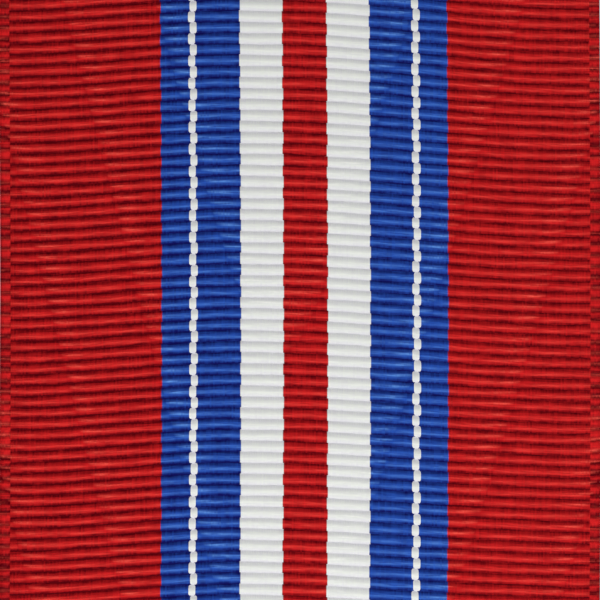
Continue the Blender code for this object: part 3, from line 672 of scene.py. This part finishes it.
# Laurel leaf: a sphere drawn out to two points, with its midrib pressed in.
leaf_length = 1.75 * MM             # each of these from its middle
leaf_width = 0.62 * MM
leaf_height = 0.40 * MM
midrib_width = 0.3                  # shares of the leaf's width and height
midrib_depth = 0.38
leaf_model = primitive("leaf_model", bpy.ops.mesh.primitive_uv_sphere_add, segments=14, ring_count=10,
                       radius=1)
for vertex in leaf_model.data.vertices:
    beside, above, along_leaf = vertex.co
    taper = (1 - abs(along_leaf) ** 1.6) ** 0.35
    pressed_in = 1 - midrib_depth + midrib_depth * min(1, abs(beside) / midrib_width)
    vertex.co = (beside * leaf_width * taper, above * leaf_height * pressed_in * taper,
                 along_leaf * leaf_length)

# Star: a flat ten-cornered plate, every other corner drawn in, poked up to a ridge on each arm.
star_radius = 6.6 * MM
star_waist = 0.40
star_height = 0.55 * MM
star_edge = 0.12 * MM
star_model = primitive("star_model", bpy.ops.mesh.primitive_circle_add, vertices=10, radius=star_radius,
                       fill_type="NGON", rotation=(math.pi / 2, 0, 0))
for vertex in star_model.data.vertices:
    corner_turn = math.atan2(vertex.co.x, vertex.co.z)
    if round(corner_turn / math.radians(36)) % 2:
        vertex.co *= star_waist
bpy.ops.object.mode_set(mode="EDIT")
bpy.ops.mesh.select_all(action="SELECT")
bpy.ops.mesh.extrude_region_move(TRANSFORM_OT_translate={"value": (0, -star_edge, 0)})
bpy.ops.mesh.poke()
bpy.ops.mesh.select_all(action="SELECT")
bpy.ops.mesh.normals_make_consistent(inside=False)
bpy.ops.mesh.mark_sharp()
bpy.ops.object.mode_set(mode="OBJECT")
for vertex in star_model.data.vertices:
    if math.hypot(vertex.co.x, vertex.co.z) < star_edge and vertex.co.y < -star_edge / 2:
        vertex.co.y = -star_height

# The wreath: pairs of leaves and a berry beside every third, up each side from the knot, and smaller
# as they climb.
leaf_pairs = 13
wreath_foot = 176                   # degrees round from the top of the disc
wreath_arc = 148
leaf_shrink = 0.25
leaf_lean = 0.42                    # radians from the stem
leaf_off = 0.62 * MM
berry_off = 1.5 * MM
berry_along = 0.07                  # radians
berry_size = 0.8
front = [on_face(star_model, front_face, 0, 0)]
for side in (-1, 1):
    for number in range(leaf_pairs):
        around = side * math.radians(wreath_foot - wreath_arc * number / (leaf_pairs - 1))
        size = 1.0 - leaf_shrink * number / leaf_pairs
        for edge in (1, -1):
            turn = side * (-math.pi / 2 + edge * leaf_lean)
            front.append(on_face(leaf_model, front_face, around, wreath_ring + edge * leaf_off, turn, size))
        if number % 3 == 1:
            front.append(on_face(bead_model, front_face, around + side * berry_along,
                                 wreath_ring + berry_off, size=berry_size))
front += beaded_border(front_face)

# The wreath's stems, cut off short of the top, and the two turns of the knot that ties them.
stem_radius = 0.2 * MM
stem_top = 0.86 * wreath_ring
knot_radius = 0.62 * MM
knot_cord = 0.24 * MM
knot_lean = math.radians(35)
stem_model = primitive("stem_model", bpy.ops.mesh.primitive_torus_add, major_radius=wreath_ring,
                       minor_radius=stem_radius, major_segments=96, minor_segments=8,
                       rotation=(math.pi / 2, 0, 0))
bpy.ops.object.mode_set(mode="EDIT")
bpy.ops.mesh.select_all(action="SELECT")
bpy.ops.mesh.bisect(plane_co=(0, 0, stem_top), plane_no=(0, 0, 1), use_fill=True, clear_outer=True)
bpy.ops.object.mode_set(mode="OBJECT")
front.append(on_face(stem_model, front_face, 0, 0))
knot_model = primitive("knot_model", bpy.ops.mesh.primitive_torus_add, major_radius=knot_radius,
                       minor_radius=knot_cord, major_segments=24, minor_segments=10,
                       rotation=(0, 0, math.pi / 2))
knot_model.data.transform(Matrix.Scale(0.6, 4, (0, 1, 0)))
for lean in (knot_lean, -knot_lean):
    front.append(on_face(knot_model, front_face, math.pi, wreath_ring, lean))
struck_relief("wreath_and_star", front, [leaf_model, star_model, stem_model, knot_model])

# Ray: a long kite with a ridge, every other one shorter.
ray_length = 12.6 * MM
ray_half_width = 0.75 * MM
ray_height = 0.28 * MM
ray_count = 36
short_ray = 0.82
ray_start = 0.5 * MM
ray_model = primitive("ray_model", bpy.ops.mesh.primitive_cone_add, vertices=4, radius1=1, radius2=0,
                      depth=1, rotation=(math.pi / 2, 0, 0))
for vertex in ray_model.data.vertices:
    vertex.co = (vertex.co.x * ray_half_width, (vertex.co.y - 0.5) * ray_height,
                 vertex.co.z * ray_length / 2)

# Tablet: a plate laid over the rays, with a sunk field and softened edges.
tablet_size = (17.0 * MM, 0.9 * MM, 6.4 * MM)
tablet_border = 0.55 * MM
tablet_field = 0.14 * MM
tablet_model = primitive("tablet_model", bpy.ops.mesh.primitive_cube_add, size=1, scale=tablet_size)
bpy.ops.object.mode_set(mode="EDIT")
bpy.ops.mesh.select_all(action="DESELECT")
bpy.ops.object.mode_set(mode="OBJECT")
for polygon in tablet_model.data.polygons:
    polygon.select = polygon.normal.y < -0.9
bpy.ops.object.mode_set(mode="EDIT")
bpy.ops.mesh.inset(thickness=tablet_border)
bpy.ops.mesh.extrude_region_move(TRANSFORM_OT_translate={"value": (0, tablet_field, 0)})
bpy.ops.object.mode_set(mode="OBJECT")
tablet_edges = tablet_model.modifiers.new("edges", "BEVEL")
tablet_edges.width = 0.1 * MM
tablet_edges.segments = 2
bpy.ops.object.modifier_apply(modifier="edges")

back = [on_face(tablet_model, back_face, 0, 0)]
for number in range(ray_count):
    reach = short_ray if number % 2 else 1.0
    back.append(on_face(ray_model, back_face, 2 * math.pi * number / ray_count,
                        reach * ray_length / 2 + ray_start, size=reach))
back += beaded_border(back_face)
struck_relief("rays_and_tablet", back, [ray_model, tablet_model, bead_model])


# ---------------------------------------------------------------- studio
# A pale floor well below the hanging medal, a soft light low in front of it, wider ones above and
# behind, and a long lens that looks straight at the ribbon.

floor_size = 4.0
floor_drop = 0.30
floor_brightness = 0.42             # what the lens sees of the floor beyond the light that falls on it
room_light = 0.18                   # the light that comes from all round
wall_brightness = 0.78
mirrored_ground = 0.28
mirrored_ceiling = 1.25
bpy.ops.mesh.primitive_plane_add(size=floor_size, location=(0, 0, -floor_drop))
floor = bpy.context.object
floor.name = "studio_floor"
floor_paint, tree, floor_shader = new_material("floor_paint")
floor_shader.inputs["Base Color"].default_value = srgb("f1f0ed")
floor_shader.inputs["Roughness"].default_value = 0.9
floor_shader.inputs["Emission Color"].default_value = srgb("f1f0ed")
looked_at = add(tree, "LightPath").outputs["Is Camera Ray"]
floor_glow = add(tree, "Math", {0: looked_at, 1: floor_brightness}, operation="MULTIPLY").outputs[0]
tree.links.new(floor_glow, floor_shader.inputs["Emission Strength"])
floor.data.materials.append(floor_paint)

ribbon_middle = Vector((0, rod.y, (rod.z + rail.z) / 2))


def soft_light(name, direction, distance, size, power):
    """A square soft light at a distance from the ribbon's middle, facing it."""
    lamp = bpy.data.lights.new(name, "AREA")
    lamp.shape = "SQUARE"
    lamp.size = size
    lamp.energy = power
    holder = bpy.data.objects.new(name, lamp)
    away = Vector(direction).normalized()
    holder.location = ribbon_middle + away * distance
    holder.rotation_euler = away.to_track_quat("Z", "Y").to_euler()
    holder.visible_camera = False
    bpy.context.scene.collection.objects.link(holder)


soft_light("low_key", (0.0, -1.0, -0.8), 0.26, 0.05, 0.52)
soft_light("top_fill", (0.3, -0.6, 1.0), 0.6, 0.5, 1.2)
soft_light("back_fill", (-0.3, 1.0, 0.5), 0.6, 0.5, 2.6)

world = bpy.data.worlds.new("studio")
bpy.context.scene.world = world
world.use_nodes = True
background = world.node_tree.nodes["Background"]
background.inputs["Color"].default_value = srgb("f2f3f5")
kind_of_ray = add(world.node_tree, "LightPath").outputs
# What the metal mirrors: a bright ceiling that darkens toward the ground.
facing = add(world.node_tree, "NewGeometry").outputs["Incoming"]
height = add(world.node_tree, "SeparateXYZ", {"Vector": facing}).outputs["Z"]
room = add(world.node_tree, "MapRange", {"Value": height, "From Min": 0.5, "From Max": -0.9,
                                         "To Min": mirrored_ground, "To Max": mirrored_ceiling},
           interpolation_type="SMOOTHSTEP").outputs[0]
mirrored = add(world.node_tree, "Mix", {"Factor": kind_of_ray["Is Glossy Ray"], "A": room_light, "B": room})
backdrop = add(world.node_tree, "Mix", {"Factor": kind_of_ray["Is Camera Ray"],
                                        "A": mirrored.outputs["Result"], "B": wall_brightness})
world.node_tree.links.new(backdrop.outputs["Result"], background.inputs["Strength"])
bpy.context.scene.view_settings.view_transform = "Standard"

view_width = 32.0 * MM
lens = 150
sensor = 36
camera_data = bpy.data.cameras.new("camera")
camera_data.lens = lens
camera_data.sensor_width = sensor
camera_data.clip_start = 0.005
camera = bpy.data.objects.new("camera", camera_data)
cloth_front = rod.y - (fall_gap / 2 + cloth)
camera.location = (-0.03 * MM, cloth_front - view_width * lens / sensor, ribbon_middle.z - 0.06 * MM)
camera.rotation_euler = (math.pi / 2, 0, 0)
bpy.context.scene.collection.objects.link(camera)
bpy.context.scene.camera = camera
